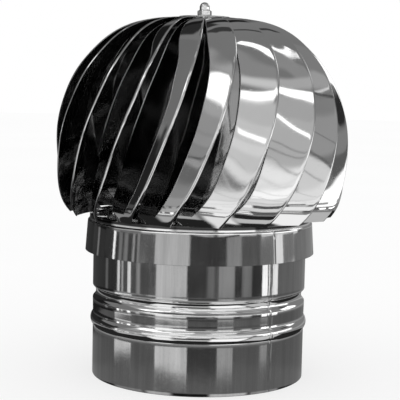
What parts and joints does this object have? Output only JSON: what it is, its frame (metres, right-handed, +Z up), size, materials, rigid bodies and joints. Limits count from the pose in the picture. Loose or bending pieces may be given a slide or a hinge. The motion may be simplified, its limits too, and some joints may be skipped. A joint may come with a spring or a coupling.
{
  "type": "rotating chimney cap",
  "caption": "Wind-driven rotating chimney cap: a ball of curved polished vanes on a skirt collar turns on a spindle held by crossbars in a round flue spigot.",
  "frame": {"origin": "on the axis at the bottom rim of the spigot tube", "axes": "+Z up along the tube and the spindle; the picture looks along +Y, with +X to the right"},
  "size_m": [0.2732, 0.2736, 0.3493],
  "materials": {
    "polished_steel": "mirror-polished stainless sheet",
    "plain_steel": "plain mill-finish stainless",
    "spindle_steel": "turned",
    "bearing_steel": "ground and polished",
    "cage_steel": "pressed strip",
    "fastener_steel": "bright stainless"
  },
  "bodies": {
    "base": {"base_tube": "polished_steel", "crossbar_upper": "plain_steel", "crossbar_lower": "plain_steel", "bearing_housing": "plain_steel", "bearing_outer_upper": "bearing_steel", "bearing_outer_lower": "bearing_steel"},
    "head": {"skirt_collar": "polished_steel", "vane_01": "polished_steel", "vane_02": "polished_steel", "vane_03": "polished_steel", "vane_04": "polished_steel", "vane_05": "polished_steel", "vane_06": "polished_steel", "vane_07": "polished_steel", "vane_08": "polished_steel", "vane_09": "polished_steel", "vane_10": "polished_steel", "vane_11": "polished_steel", "vane_12": "polished_steel", "vane_13": "polished_steel", "vane_14": "polished_steel", "vane_15": "polished_steel", "vane_16": "polished_steel", "vane_17": "polished_steel", "vane_18": "polished_steel", "vane_19": "polished_steel", "hub_disc": "polished_steel", "hub_plate": "polished_steel", "hub_spacer": "plain_steel", "hub_boss_washer": "plain_steel", "top_washer": "fastener_steel", "cap_nut": "fastener_steel", "spindle": "spindle_steel", "bearing_inner_upper": "bearing_steel", "bearing_inner_lower": "bearing_steel", "spacer_sleeve": "plain_steel", "lower_washer": "fastener_steel", "lower_lock_nut": "fastener_steel"},
    "cage_upper": {"bearing_cage_upper": "cage_steel", "bearing_balls_upper": "bearing_steel"},
    "cage_lower": {"bearing_cage_lower": "cage_steel", "bearing_balls_lower": "bearing_steel"}
  },
  "joints": [
    {"name": "head_spin", "type": "hinge", "parent": "base", "child": "head", "pos_m": [0, 0, 0.2], "axis": [0, 0, 1], "continuous": true},
    {"name": "cage_upper_spin", "type": "hinge", "parent": "base", "child": "cage_upper", "pos_m": [0, 0, 0.1385], "axis": [0, 0, 1], "continuous": true},
    {"name": "cage_lower_spin", "type": "hinge", "parent": "base", "child": "cage_lower", "pos_m": [0, 0, 0.0235], "axis": [0, 0, 1], "continuous": true}
  ],
  "couplings": [
    {"joint": "cage_upper_spin", "follows": "head_spin", "ratio": 0.3677},
    {"joint": "cage_lower_spin", "follows": "head_spin", "ratio": 0.3677}
  ]
}
